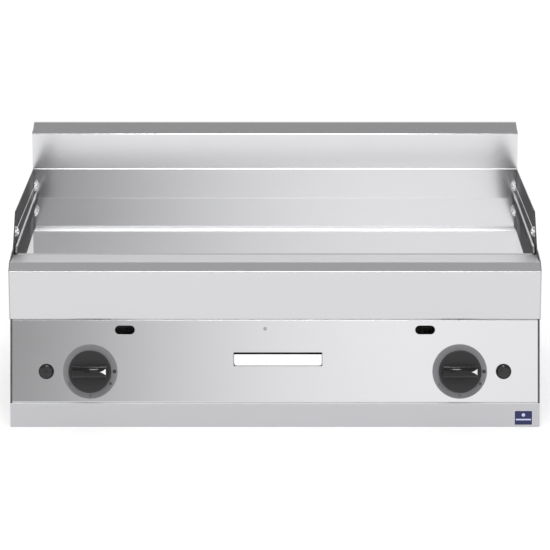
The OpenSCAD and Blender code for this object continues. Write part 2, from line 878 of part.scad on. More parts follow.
// Pilot burner on a bracket behind the chamber's window.
module pilot() {
    x0 = lead_x - 7;
    x1 = couple_x + 6;
    color(steel) difference() {
        union() {
            block([x0, chamber_y, bracket_z - 6], [x1, chamber_y + sheet, bracket_z]);
            block([x0, chamber_y, bracket_z], [x1, pilot_y + 8, bracket_z + sheet]);
            translate([pilot_x, pilot_y, bracket_z]) cylinder(h = 20, r = 4.5);
            translate([pilot_x, pilot_y, bracket_z + 20]) cylinder(h = 5, r1 = 4.5, r2 = 6);
        }
        translate([pilot_x, pilot_y, bracket_z - 1]) cylinder(h = 8, r = pilot_pipe_r + fit);
        translate([lead_x, pilot_y, bracket_z - 1]) cylinder(h = 9, r = 2.6);
        for (x = [pilot_x, lead_x]) translate([x, chamber_y, low_z]) rotate([90, 0, 0])
            cylinder(h = cut, r = pilot_pipe_r + 0.4, center = true, $fn = 24);
        translate([couple_x, chamber_y, couple_z]) rotate([90, 0, 0])
            cylinder(h = 60, r = 2.2, center = true, $fn = 24);
    }
}

module left_pilot() {
    on_side(-1) pilot();
}

module right_pilot() {
    on_side(1) pilot();
}

module pilot_pipe() {
    start = tap_axis(25);
    out_x = knob_x + valve_r;
    color(copper_tone) difference() {
        pipe_run([[out_x - 2, start[1], start[2]], [out_x + 9, start[1], start[2]],
            [out_x + 9, start[1], low_z], [pilot_x, start[1], low_z],
            [pilot_x, pilot_y, low_z], [pilot_x, pilot_y, bracket_z + 7]], pilot_pipe_r);
        on_panel(knob_x, knob_drop) translate([0, 0, -valve_l - sheet])
            cylinder(h = valve_l, r = valve_r + fit);
    }
}

module left_pilot_pipe() {
    on_side(-1) pilot_pipe();
}

module right_pilot_pipe() {
    on_side(1) pilot_pipe();
}

module thermocouple() {
    start = tap_axis(42);
    in_x = knob_x - valve_r;
    color(copper_tone) difference() {
        union() {
            pipe_run([[in_x + 2, start[1], start[2]], [couple_x, start[1], start[2]],
                [couple_x, start[1], couple_z], [couple_x, pilot_y, couple_z],
                [couple_x, pilot_y, couple_z + 14]], lead_r);
            translate([couple_x, pilot_y, couple_z + 8]) cylinder(h = 18, r = 2.5);
        }
        on_panel(knob_x, knob_drop) translate([0, 0, -valve_l - sheet])
            cylinder(h = valve_l, r = valve_r + fit);
    }
}

module left_thermocouple() {
    on_side(-1) thermocouple();
}

module right_thermocouple() {
    on_side(1) thermocouple();
}

// Piezo igniter: collar on the face, body and lock nut behind the panel.
module igniter(side) {
    color(dark_steel) on_panel(side * igniter_x, knob_drop) difference() {
        union() {
            cylinder(h = igniter_collar_h, r = igniter_r);
            igniter_body();
            translate([0, 0, -sheet - 5]) cylinder(h = 5, r = igniter_r + 2, $fn = 6);
        }
        translate([0, 0, 0.8]) cylinder(h = cut, r = button_r + 0.3);
        translate([0, 0, -26]) cylinder(h = 40, r = stem_r + fit);
    }
}

module igniter_body() {
    translate([0, 0, -igniter_body_l]) cylinder(h = igniter_body_l + 1, r = igniter_body_r);
}

module left_igniter() {
    igniter(-1);
}

module right_igniter() {
    igniter(1);
}

module igniter_button(side) {
    cap = 1 + igniter_travel;
    color(black) on_panel(side * igniter_x, knob_drop) {
        translate([0, 0, -18]) cylinder(h = 18 + cap + 1, r = stem_r);
        translate([0, 0, cap]) cylinder(h = 2.2, r = button_r);
        translate([0, 0, cap + 2.2]) rotate_extrude() polygon([[0, 0], [button_r, 0],
            [button_r - 0.8, 0.9], [button_r - 3, 1.5], [0, 1.9]]);
    }
}

module left_igniter_button() {
    igniter_button(-1);
}

module right_igniter_button() {
    igniter_button(1);
}

// Ceramic electrode and its high-tension lead from the igniter's tail.
module electrode() {
    tail = [igniter_x, knob_y + igniter_body_l * cos(tilt),
        knob_z - igniter_body_l * sin(tilt)];
    run_y = injector_y - 14;
    run_z = shield_z - 3;
    color("white") {
        translate([lead_x, pilot_y, low_z + 1]) cylinder(h = 16, r = 2.5);
        translate([lead_x, pilot_y, low_z + 16]) cylinder(h = 14, r = 0.9);
        difference() {
            pipe_run([tail - [0, 4, 0], [igniter_x, run_y, tail[2]],
                [igniter_x, run_y, run_z], [lead_x, run_y, run_z],
                [lead_x, run_y, low_z], [lead_x, pilot_y, low_z],
                [lead_x, pilot_y, low_z + 3]], lead_r);
            on_panel(igniter_x, knob_drop) igniter_body();
        }
    }
}

module left_electrode() {
    on_side(-1) electrode();
}

module right_electrode() {
    on_side(1) electrode();
}

// ---- Trim ----

module badge() {
    color("royalblue") block([body_half - 38, kick_y - sheet - 0.8, 3],
        [body_half - 11, kick_y - sheet, 25]);
}

module casing_screws() {
    color(steel) {
        for (x = back_screw_xs, z = back_screw_zs)
            translate([x, y_back, z]) rotate([-90, 0, 0])
                round_screw(4, 2.4, back_screw_r, sheet);
        for (side = [-1, 1]) on_side(side) side_screw_places()
            round_screw(5, 2.8, side_screw_r, heavy_sheet + sheet);
        on_panel(panel_screw_x, panel_screw_drop) round_screw(2.6, 1.4, panel_screw_r, sheet);
    }
}

base_pan();
left_side_panel();
right_side_panel();
back_panel();
kick_strip();
control_panel();
nose();
left_splash_guard();
right_splash_guard();
rear_wall();
flue_hood();
flue_grille();
flue_baffle();
griddle_plate();
plate_rims();
grease_gutter();
grease_tray();
tray_front();
tray_runners();
heat_shield();
chamber_front_wall();
chamber_side_walls();
insulation();
burner_supports();
left_burner();
right_burner();
left_injector();
right_injector();
gas_manifold();
gas_inlet();
left_gas_valve();
right_gas_valve();
left_push_rod();
right_push_rod();
left_spindle();
right_spindle();
left_knob();
right_knob();
left_bezel();
right_bezel();
left_burner_pipe();
right_burner_pipe();
left_pilot();
right_pilot();
left_pilot_pipe();
right_pilot_pipe();
left_thermocouple();
right_thermocouple();
left_igniter();
right_igniter();
left_igniter_button();
right_igniter_button();
left_electrode();
right_electrode();
badge();
guard_screws();
casing_screws();
foot_inserts();
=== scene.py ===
"""Countertop gas griddle with a smooth steel plate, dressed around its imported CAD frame.

Sheet-metal parts are softened copies of their CAD nodes. Knobs, bezels, igniters and the
badge are modelled here. Screws and the inner parts keep their CAD mesh and get a finish.
Lengths are metres.
"""

import json
import logging
import math
from dataclasses import dataclass, field
from enum import Enum
from typing import Callable, ClassVar, Optional, Sequence

import bmesh
import bpy
from mathutils import Matrix, Vector

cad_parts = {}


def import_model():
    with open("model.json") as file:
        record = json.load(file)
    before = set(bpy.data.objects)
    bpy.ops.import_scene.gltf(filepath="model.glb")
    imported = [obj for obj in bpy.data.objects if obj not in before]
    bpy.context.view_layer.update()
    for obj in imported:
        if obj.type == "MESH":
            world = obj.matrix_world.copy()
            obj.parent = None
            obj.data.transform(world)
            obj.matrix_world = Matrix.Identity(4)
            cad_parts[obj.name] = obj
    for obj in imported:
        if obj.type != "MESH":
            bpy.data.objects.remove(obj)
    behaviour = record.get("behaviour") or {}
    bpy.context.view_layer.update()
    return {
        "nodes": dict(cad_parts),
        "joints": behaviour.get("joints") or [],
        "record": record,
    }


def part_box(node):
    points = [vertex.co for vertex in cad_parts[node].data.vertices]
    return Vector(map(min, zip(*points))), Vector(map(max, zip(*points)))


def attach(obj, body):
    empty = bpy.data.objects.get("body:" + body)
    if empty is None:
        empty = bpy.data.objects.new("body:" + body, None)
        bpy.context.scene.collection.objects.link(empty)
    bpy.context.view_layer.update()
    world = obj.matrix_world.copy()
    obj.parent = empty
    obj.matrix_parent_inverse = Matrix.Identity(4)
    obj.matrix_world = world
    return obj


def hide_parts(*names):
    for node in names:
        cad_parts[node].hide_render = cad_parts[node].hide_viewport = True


LOG = logging.getLogger("griddle")
CYLINDER = bpy.ops.mesh.primitive_cylinder_add
CUBE = bpy.ops.mesh.primitive_cube_add
PLANE = bpy.ops.mesh.primitive_plane_add
MM = 0.001
Colour = tuple[float, float, float, float]
Point = tuple[float, float, float]
Pairs = tuple[tuple[float, float], ...]
FaceTest = Callable[[Vector, Vector], bool]

# Least share of a face's normal along an axis: square to it, or only leaning that way.
SQUARE = 0.9
LEANING = 0.3
# Play allowed where an edge is looked for by its place.
NEAR = 0.1 * MM
# Real height of the grain, spots and scratches that a bump stands for.
RELIEF = 0.05 * MM
# Angle below which two faces are shaded as one.
SMOOTH_BELOW = math.radians(40)


# ---- colour and nodes


def hex_to_linear(code: str) -> Colour:
    """Turn an sRGB hex colour into a linear RGBA tuple.

    Args:
        code: six hex digits, such as "c8c8ca".

    Returns:
        Linear red, green, blue and an alpha of 1.
    """
    channels = [int(code[i:i + 2], 16) / 255 for i in (0, 2, 4)]
    linear = [c / 12.92 if c <= 0.04045 else ((c + 0.055) / 1.055) ** 2.4 for c in channels]
    return (*linear, 1.0)


def per_metre(size_mm: float) -> float:
    """Pattern scale whose features are about size_mm across, on metre coordinates."""
    return 1.0 / (size_mm * MM)


def add_node(
    tree: bpy.types.NodeTree,
    kind: str,
    settings: Optional[dict[str, object]] = None,
    inputs: Optional[dict[str | int, object]] = None,
    stops: Sequence[tuple[float, Colour]] = (),
) -> bpy.types.Node:
    """Add one node, set its properties and fill or link its inputs.

    Args:
        tree: the node tree that gets the node.
        kind: the node's type name.
        settings: attribute values, such as an operation.
        inputs: socket name or index to a value, or to a socket to link from.
        stops: a colour ramp's position and colour pairs, in rising order.

    Returns:
        The new node.
    """
    node = tree.nodes.new(kind)
    for key, value in (settings or {}).items():
        setattr(node, key, value)
    for key, value in (inputs or {}).items():
        socket = node.inputs[key]
        if isinstance(value, bpy.types.NodeSocket):
            tree.links.new(value, socket)
        else:
            socket.default_value = value
    if stops:
        elements = node.color_ramp.elements
        while len(elements) < len(stops):
            elements.new(0.5)
        for element, (position, colour) in zip(elements, stops):
            element.position = position
            element.color = colour
    return node


def new_material(name: str) -> tuple[bpy.types.Material, bpy.types.Node]:
    """Make a node material.

    Args:
        name: the material's name.

    Returns:
        The material and its Principled shader.
    """
    material = bpy.data.materials.new(name)
    material.use_nodes = True
    return material, material.node_tree.nodes["Principled BSDF"]


def grey(value: float) -> Colour:
    """A neutral linear colour."""
    return (value, value, value, 1.0)


def greys(stops: Sequence[tuple[float, float]]) -> list[tuple[float, Colour]]:
    """Turn position and brightness pairs into a ramp's stops."""
    return [(position, grey(value)) for position, value in stops]


# ---- finishes


class Grain(Enum):
    """Direction in which a sheet was brushed."""

    ALONG_X = (0.03, 1.0, 1.0)
    ALONG_Y = (1.0, 0.03, 1.0)
    NONE = (1.0, 1.0, 1.0)


@dataclass(frozen=True)
class MetalFinish:
    """A bare metal surface with brushed or rolled grain.

    The grain is a stretched noise that varies the roughness and, very slightly, the
    height, so that highlights break up along the brushing direction. Where the metal
    is tarnished, clouds of a second colour lie over the first.
    """

    TARNISH_SPAN: ClassVar[tuple[float, float]] = (0.35, 0.75)

    name: str
    colour: str
    roughness: float
    grain: Grain = Grain.ALONG_X
    grain_mm: float = 1.4
    grain_depth: float = 0.05
    variation: float = 0.03
    bump: float = 0.03
    tarnish: str = ""
    tarnish_mm: float = 60.0
    tarnish_amount: float = 0.5

    def build(self) -> bpy.types.Material:
        """Build the finish as a node material.

        Returns:
            The material.
        """
        material, shader = new_material(self.name)
        tree = material.node_tree
        clean = hex_to_linear(self.colour)
        shader.inputs["Metallic"].default_value = 1.0
        shader.inputs["Base Color"].default_value = clean
        place = add_node(tree, "ShaderNodeTexCoord").outputs["Object"]
        along = add_node(
            tree, "ShaderNodeMapping", inputs={"Vector": place, "Scale": self.grain.value}
        ).outputs["Vector"]
        lines = add_node(
            tree, "ShaderNodeTexNoise",
            inputs={"Vector": along, "Scale": per_metre(self.grain_mm), "Detail": 3.0}
        ).outputs["Fac"]
        clouds = add_node(
            tree, "ShaderNodeTexNoise",
            inputs={"Vector": place, "Scale": per_metre(self.tarnish_mm), "Detail": 2.0}
        ).outputs["Fac"]
        mixed = add_node(
            tree, "ShaderNodeMath", {"operation": "MULTIPLY_ADD"},
            {0: lines, 1: self.grain_depth, 2: self.roughness - self.grain_depth / 2}
        ).outputs[0]
        rough = add_node(
            tree, "ShaderNodeMath", {"operation": "MULTIPLY_ADD", "use_clamp": True},
            {0: clouds, 1: self.variation, 2: mixed}
        ).outputs[0]
        tree.links.new(rough, shader.inputs["Roughness"])
        bump = add_node(
            tree, "ShaderNodeBump",
            inputs={"Height": lines, "Strength": self.bump, "Distance": RELIEF}
        ).outputs["Normal"]
        tree.links.new(bump, shader.inputs["Normal"])
        if self.tarnish:
            stops = list(zip(self.TARNISH_SPAN, (clean, hex_to_linear(self.tarnish))))
            tint = add_node(
                tree, "ShaderNodeValToRGB", inputs={"Fac": clouds}, stops=stops
            ).outputs["Color"]
            blended = add_node(
                tree, "ShaderNodeMix", {"data_type": "RGBA"},
                {0: self.tarnish_amount, 6: clean, 7: tint}
            ).outputs[2]
            tree.links.new(blended, shader.inputs["Base Color"])
        return material


@dataclass(frozen=True)
class MouldedFinish:
    """A moulded, painted, glazed or fibrous surface that isn't bare metal.

    Fine spots shift its colour between two shades, with its roughness and height.
    """

    SPOT_SPAN: ClassVar[tuple[float, float]] = (0.3, 0.7)
    ROUGHNESS_SPREAD: ClassVar[float] = 0.08
    COAT_ROUGHNESS: ClassVar[float] = 0.06

    name: str
    colour: str
    second: str
    roughness: float
    spot_mm: float = 0.6
    bump: float = 0.05
    coat: float = 0.0
    specular: float = 0.5

    def build(self) -> bpy.types.Material:
        """Build the finish as a node material.

        Returns:
            The material.
        """
        material, shader = new_material(self.name)
        tree = material.node_tree
        shader.inputs["Coat Weight"].default_value = self.coat
        shader.inputs["Coat Roughness"].default_value = self.COAT_ROUGHNESS
        shader.inputs["Specular IOR Level"].default_value = self.specular
        place = add_node(tree, "ShaderNodeTexCoord").outputs["Object"]
        spots = add_node(
            tree, "ShaderNodeTexNoise",
            inputs={"Vector": place, "Scale": per_metre(self.spot_mm), "Detail": 2.0}
        ).outputs["Fac"]
        shades = (hex_to_linear(self.colour), hex_to_linear(self.second))
        tint = add_node(
            tree, "ShaderNodeValToRGB", inputs={"Fac": spots},
            stops=list(zip(self.SPOT_SPAN, shades))
        ).outputs["Color"]
        tree.links.new(tint, shader.inputs["Base Color"])
        rough = add_node(
            tree, "ShaderNodeMath", {"operation": "MULTIPLY_ADD", "use_clamp": True},
            {0: spots, 1: self.ROUGHNESS_SPREAD, 2: self.roughness - self.ROUGHNESS_SPREAD / 2}
        ).outputs[0]
        tree.links.new(rough, shader.inputs["Roughness"])
        bump = add_node(
            tree, "ShaderNodeBump",
            inputs={"Height": spots, "Strength": self.bump, "Distance": RELIEF}
        ).outputs["Normal"]
        tree.links.new(bump, shader.inputs["Normal"])
        return material


class Finish(Enum):
    """Every finish on the griddle: most are named for the real material, and some are painted
    shade or painted highlight.
    """

    # AISI 304 sheet with a fine satin grain: soft, even reflections.
    SATIN_STAINLESS = MetalFinish("satin_stainless_304", "d2d2d4", 0.3)
    # Sheet of the low strip that closes the front, coloured darker than the satin sheet as painted
    # shade for the shadowed floor it mirrors.
    STRIP_STAINLESS = MetalFinish("dull_satin_stainless_304", "c2c2c5", 0.3)
    # Hood sheet with a finer grain, so that the plate mirrors a gradient in it.
    HOOD_STAINLESS = MetalFinish(
        "fine_satin_stainless_304", "dadadc", 0.15, Grain.ALONG_X, 1.4, 0.04, 0.02, 0.02
    )
    # Guards' outer faces, brushed from front to back.
    GUARD_STAINLESS = MetalFinish("guard_stainless_304", "c4c4c6", 0.3, Grain.ALONG_Y)
    # Painted shade: matt dark grey on the sheet that faces the plate and on the flanks' front
    # edges, where shade falls.
    HEATED_STAINLESS = MouldedFinish(
        "heat_toned_stainless", "4e4e50", "5a5a5b", 0.75, 14.0, 0.03, 0.0, 0.12
    )
    # Painted highlight: near-white matt patches under the hood's return, on the top faces of the
    # upstands and plate rims, and along the top of the kick strip, where bright reflections lie.
    PALE_SEALANT = MouldedFinish("pale_silicone", "f6f6f6", "ffffff", 0.4, 2.0, 0.02)
    # Bright-annealed sheet: reflections stay sharp enough to show a gradient.
    BRIGHT_STAINLESS = MetalFinish(
        "bright_annealed_stainless", "dcdcde", 0.11, Grain.ALONG_X, 2.0, 0.03, 0.02, 0.01
    )
    # Ground and polished carbon steel cooking plate, close to a mirror.
    POLISHED_PLATE = MetalFinish(
        "polished_steel_plate", "f2f2f4", 0.03, Grain.ALONG_X, 1.6, 0.012, 0.01, 0.004,
        "ecebe9", 90.0, 0.3
    )
    # Mill-finish sheet inside the casing: duller and slightly stained.
    MILL_SHEET = MetalFinish(
        "mill_finish_sheet", "a2a2a4", 0.42, Grain.ALONG_X, 1.5, 0.08, 0.05, 0.05,
        "8e8a84", 70.0, 0.5
    )
    # Burner tube after firing: brown-grey scale.
    FIRED_STEEL = MetalFinish(
        "fired_burner_steel", "5a5654", 0.5, Grain.NONE, 1.0, 0.1, 0.08, 0.1,
        "6b4a38", 45.0, 0.7
    )
    # Machined brass, cast bodies: warm and fairly smooth.
    MACHINED_BRASS = MetalFinish(
        "machined_brass", "c9a45c", 0.28, Grain.NONE, 0.8, 0.06, 0.04, 0.05,
        "a9844a", 25.0, 0.4
    )
    # Drawn copper tube, darkened here and there.
    DRAWN_COPPER = MetalFinish(
        "drawn_copper", "c98a66", 0.3, Grain.NONE, 0.8, 0.06, 0.04, 0.04,
        "8f5a40", 30.0, 0.5
    )
    # Zinc-plated steel: cool grey, slightly cloudy.
    ZINC_STEEL = MetalFinish(
        "zinc_plated_steel", "b4b7ba", 0.33, Grain.NONE, 0.8, 0.08, 0.06, 0.05,
        "9ea6a8", 20.0, 0.5
    )
    # Nickel-bright guard screws, the knob's pointer and the badge's rim.
    BRIGHT_NICKEL = MetalFinish("bright_nickel", "f2f2f4", 0.08, Grain.NONE, 0.5, 0.02, 0.02, 0.01)
    # Anodised aluminium ring behind the knob: matt mid grey.
    ANODISED_GREY = MouldedFinish("anodised_aluminium_grey", "7c7c7f", "848387", 0.42, 0.8, 0.03)
    # Phenolic knob: near black with a soft moulded sheen on the disc and the grip's sides.
    PHENOLIC_DISC = MouldedFinish(
        "black_phenolic_disc", "282628", "2d2b2c", 0.5, 0.9, 0.05, 0.0, 0.35
    )
    # The same resin polished on the grip.
    PHENOLIC_GRIP = MouldedFinish(
        "black_phenolic_grip", "0b0a0b", "0e0e0e", 0.14, 0.9, 0.01, 0.3, 0.25
    )
    # Nylon igniter collar and cap.
    BLACK_NYLON = MouldedFinish("black_nylon", "1a1a1b", "201f20", 0.34, 0.7, 0.05, 0.1)
    NYLON_CAP = MouldedFinish("black_nylon_cap", "0f0f10", "131313", 0.3, 0.7, 0.04, 0.2)
    # Screen-printed marks on the ring.
    DARK_INK = MouldedFinish("dark_printing_ink", "2c2b2d", "343235", 0.5, 0.5, 0.02)
    FAINT_INK = MouldedFinish("worn_printing_ink", "5e5d61", "66656a", 0.5, 0.5, 0.02)
    # Near-white matt finish on the tray front.
    WHITE_POWDER = MouldedFinish("white_powder_coat", "fbfbfb", "ffffff", 0.4, 1.2, 0.06)
    # Vitreous enamel badge plate.
    BLUE_ENAMEL = MouldedFinish("blue_vitreous_enamel", "0d1448", "121a52", 0.35, 3.0, 0.02, 0.1)
    PALE_ENAMEL = MouldedFinish("pale_vitreous_enamel", "b9bfe2", "c8cdea", 0.25, 3.0, 0.02, 0.3)
    # Glazed alumina insulator.
    GLAZED_CERAMIC = MouldedFinish("glazed_alumina", "e8e4d8", "f0ece2", 0.22, 4.0, 0.02, 0.3)
    # Loose mineral wool slab.
    MINERAL_WOOL = MouldedFinish("mineral_wool", "8f8460", "b8ab80", 0.95, 2.0, 0.9, 0.0, 0.1)


@dataclass
class Paintbox:
    """Builds each finish once and hands out its material."""

    made: dict[Finish, bpy.types.Material] = field(default_factory=dict)

    def get(self, finish: Finish) -> bpy.types.Material:
        """The material of a finish, built on first use."""
        if finish not in self.made:
            self.made[finish] = finish.value.build()
        return self.made[finish]

    def coat(self, piece: bpy.types.Object, finish: Finish) -> None:
        """Give a whole piece one finish."""
        piece.data.materials.clear()
        piece.data.materials.append(self.get(finish))


# ---- modelling helpers


def clear_selection() -> None:
    """Leave no object selected."""
    bpy.ops.object.select_all(action="DESELECT")


def take_up(piece: bpy.types.Object) -> None:
    """Make a piece the only selected and the active object.

    Args:
        piece: the piece.
    """
    clear_selection()
    piece.select_set(True)
    bpy.context.view_layer.objects.active = piece


def bake(piece: bpy.types.Object) -> None:
    """Move a piece's place, turn and scale into its mesh."""
    take_up(piece)
    bpy.ops.object.transform_apply(location=True, rotation=True, scale=True)


def primitive(add: Callable[..., set[str]], name: str, **sizes: object) -> bpy.types.Object:
    """Add a primitive with nothing else selected, and name it.

    Args:
        add: the operator that adds it.
        name: the piece's name.
        sizes: the operator's settings.

    Returns:
        The new piece.
    """
    clear_selection()
    add(**sizes)
    piece = bpy.context.active_object
    piece.name = name
    piece.data.name = name
    return piece


def edit(piece: bpy.types.Object, mode: str = "FACE") -> None:
    """Enter edit mode on a piece with nothing selected.

    Args:
        piece: the piece to edit.
        mode: VERT, EDGE or FACE select mode.
    """
    take_up(piece)
    bpy.ops.object.mode_set(mode="EDIT")
    bpy.ops.mesh.select_mode(type=mode)
    bpy.ops.mesh.select_all(action="DESELECT")


def done() -> None:
    """Leave edit mode."""
    bpy.ops.object.mode_set(mode="OBJECT")


def pick(piece: bpy.types.Object, test: Callable[..., bool], kind: str = "faces") -> None:
    """Select only the faces or edges that pass a test, in edit mode.

    Args:
        piece: the piece in edit mode.
        test: says whether a face or an edge is wanted.
        kind: faces or edges.
    """
    bpy.ops.mesh.select_all(action="DESELECT")
    mesh = bmesh.from_edit_mesh(piece.data)
    for part in getattr(mesh, kind):
        part.select_set(test(part))
    mesh.select_flush_mode()
    bmesh.update_edit_mesh(piece.data)


def middle(edge: bmesh.types.BMEdge) -> Vector:
    """Midpoint of an edge."""
    return (edge.verts[0].co + edge.verts[1].co) / 2


def span(edge: bmesh.types.BMEdge) -> Vector:
    """How far an edge reaches along each axis."""
    return Vector([abs(a - b) for a, b in zip(edge.verts[0].co, edge.verts[1].co)])


def dig(depth: float) -> None:
    """Extrude the selected faces along Z by a depth, which is negative downwards."""
    bpy.ops.mesh.extrude_region_move(TRANSFORM_OT_translate={"value": (0, 0, depth)})


def lift(rise: float) -> None:
    """Move the selected parts along Z."""
    bpy.ops.transform.translate(value=(0, 0, rise))


def apply_modifiers(piece: bpy.types.Object) -> None:
    """Apply every modifier of a piece in order."""
    take_up(piece)
    for modifier in list(piece.modifiers):
        bpy.ops.object.modifier_apply(modifier=modifier.name)


def soften(piece: bpy.types.Object, width: float, segments: int = 2, angle: float = 35.0) -> None:
    """Bevel the sharp edges of a piece, shade it smooth and keep its flat faces flat.

    Args:
        piece: the piece.
        width: bevel width in metres.
        segments: number of bevel segments.
        angle: only edges sharper than this, in degrees, are bevelled.
    """
    bevel = piece.modifiers.new("edge", "BEVEL")
    bevel.width = width
    bevel.segments = segments
    bevel.limit_method = "ANGLE"
    bevel.angle_limit = math.radians(angle)
    apply_modifiers(piece)
    bpy.ops.object.shade_smooth_by_angle(angle=SMOOTH_BELOW)
    even = piece.modifiers.new("even", "WEIGHTED_NORMAL")
    even.mode = "FACE_AREA"
    even.weight = 100
    even.keep_sharp = True
    apply_modifiers(piece)


def settle(piece: bpy.types.Object, place: Matrix) -> None:
    """Move a piece's mesh to its place and leave its object at the origin.

    Args:
        piece: the piece, modelled about its own local origin.
        place: the transform to the shared frame.
    """
    bake(piece)
    piece.matrix_world = place
    bpy.context.view_layer.update()
    bake(piece)


def join(pieces: Sequence[bpy.types.Object], name: str) -> bpy.types.Object:
    """Join pieces into one object.

    Args:
        pieces: the pieces, the first of which keeps its identity.
        name: the joined piece's name.

    Returns:
        The joined piece.
    """
    clear_selection()
    for piece in pieces:
        piece.select_set(True)
    bpy.context.view_layer.objects.active = pieces[0]
    bpy.ops.object.join()
    pieces[0].name = name
    return pieces[0]


def local_frame(origin: Vector, outward: Vector) -> Matrix:
    """Frame whose Z is outward, X is the object's X, and Y points up the slope.

    Args:
        origin: the frame's origin.
        outward: unit vector out of the surface.

    Returns:
        The 4 by 4 transform.
    """
    across = Vector((1, 0, 0))
    turn = Matrix((across, outward.cross(across), outward)).transposed().to_4x4()
    return Matrix.Translation(origin) @ turn


def second_finish(
    paint: Paintbox, piece: bpy.types.Object, finish: Finish, test: FaceTest
) -> None:
    """Give some faces of a piece a second finish.

    Args:
        paint: the materials.
        piece: the piece, which has its first finish.
        finish: the second finish.
        test: says from a face's normal and middle whether it gets the second finish.
    """
    piece.data.materials.append(paint.get(finish))
    edit(piece)
    pick(piece, lambda f: test(f.normal, f.calc_center_median()))
    piece.active_material_index = len(piece.data.materials) - 1
    bpy.ops.object.material_slot_assign()
    done()


# ---- sheet metal


@dataclass
class SheetMetal:
    """Casing parts: each is a merged copy of its CAD node with softened edges."""

    paint: Paintbox
    bodies: dict[str, str]
    edge: float = 0.3 * MM
    plate_edge: float = 0.8 * MM
    finishes: ClassVar[dict[str, Finish]] = {
        "base_pan": Finish.SATIN_STAINLESS,
        "left_side_panel": Finish.SATIN_STAINLESS,
        "right_side_panel": Finish.SATIN_STAINLESS,
        "back_panel": Finish.SATIN_STAINLESS,
        "kick_strip": Finish.STRIP_STAINLESS,
        "control_panel": Finish.BRIGHT_STAINLESS,
        "nose": Finish.SATIN_STAINLESS,
        "left_splash_guard": Finish.GUARD_STAINLESS,
        "right_splash_guard": Finish.GUARD_STAINLESS,
        "rear_wall": Finish.BRIGHT_STAINLESS,
        "flue_hood": Finish.HOOD_STAINLESS,
        "flue_grille": Finish.SATIN_STAINLESS,
        "plate_rims": Finish.BRIGHT_STAINLESS,
        "grease_gutter": Finish.MILL_SHEET,
        "grease_tray": Finish.MILL_SHEET,
        "tray_front": Finish.WHITE_POWDER,
        "tray_runners": Finish.MILL_SHEET,
        "griddle_plate": Finish.POLISHED_PLATE,
    }
    # Pieces whose faces beside the plate get painted shade.
    toned: tuple[str, ...] = (
        "left_splash_guard", "right_splash_guard", "left_side_panel", "right_side_panel",
        "plate_rims", "rear_wall",
    )
    # Distance from the middle at which the flanks begin.
    flank: float = 380 * MM
    # Height of the band in which a face gets the painted highlight. The plate's top slopes a
    # little.
    highlight_band: float = 3 * MM
    # Corners closer than this are merged, and faces flatter than this become one.
    weld: float = 0.002 * MM
    flat_below: float = math.radians(0.4)
    # Heights that are read from the frame.
    plate_top: float = 0.0
    panel_top: float = 0.0

    def skin(self, node: bpy.types.Object) -> bpy.types.Object:
        """Make the softened copy of one CAD node.

        Args:
            node: the CAD node's object.

        Returns:
            The copy, named after the node.
        """
        skin = bpy.data.objects.new(f"{node.name}_skin", node.data.copy())
        bpy.context.scene.collection.objects.link(skin)
        edit(skin, "VERT")
        bpy.ops.mesh.select_all(action="SELECT")
        bpy.ops.mesh.customdata_custom_splitnormals_clear()
        bpy.ops.mesh.remove_doubles(threshold=self.weld)
        bpy.ops.mesh.dissolve_limited(angle_limit=self.flat_below)
        done()
        soften(skin, self.plate_edge if node.name == "griddle_plate" else self.edge)
        return skin

    def gets_painted_shade(self, way: Vector, spot: Vector) -> bool:
        """Say whether a face looks across the plate, or is a front edge at the flanks.

        Args:
            way: the face's normal.
            spot: the face's middle.

        Returns:
            True for a face that gets painted shade.
        """
        inward = way.x * spot.x < -LEANING * abs(spot.x)
        bare = self.panel_top < spot.z < self.plate_top
        beside = way.y < -LEANING and abs(spot.x) > self.flank and not bare
        return inward or beside

    def highlight_faces(self) -> dict[str, FaceTest]:
        """Say which faces of which pieces get the painted highlight.

        Returns:
            The test of each piece that has such faces.
        """
        hood_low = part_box("flue_hood")[0].z

        def above_plate(way: Vector, spot: Vector) -> bool:
            """Say whether a face looks up from above the plate."""
            return way.z > LEANING and spot.z > self.plate_top + self.highlight_band

        return {
            "left_side_panel": above_plate,
            "right_side_panel": above_plate,
            "plate_rims": above_plate,
            "kick_strip": lambda way, _: way.z > LEANING,
            "flue_hood": lambda way, spot: way.z < -LEANING and spot.z < hood_low + self.highlight_band,
        }

    def build(self, nodes: dict[str, bpy.types.Object]) -> None:
        """Build and dress every sheet-metal piece.

        Args:
            nodes: the CAD nodes by name.
        """
        self.plate_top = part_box("griddle_plate")[1].z
        self.panel_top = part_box("control_panel")[1].z
        highlight_faces = self.highlight_faces()
        for name, finish in self.finishes.items():
            piece = self.skin(nodes[name])
            self.paint.coat(piece, finish)
            if name in self.toned:
                # Painted shade: dark grey on the faces beside the plate and on the flanks' front
                # edges.
                second_finish(self.paint, piece, Finish.HEATED_STAINLESS, self.gets_painted_shade)
            if name in highlight_faces:
                # Painted highlight: near-white on the faces where bright reflections lie.
                second_finish(self.paint, piece, Finish.PALE_SEALANT, highlight_faces[name])
            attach(piece, self.bodies[name])
            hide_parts(name)
            LOG.info("%s: %d faces", piece.name, len(piece.data.polygons))


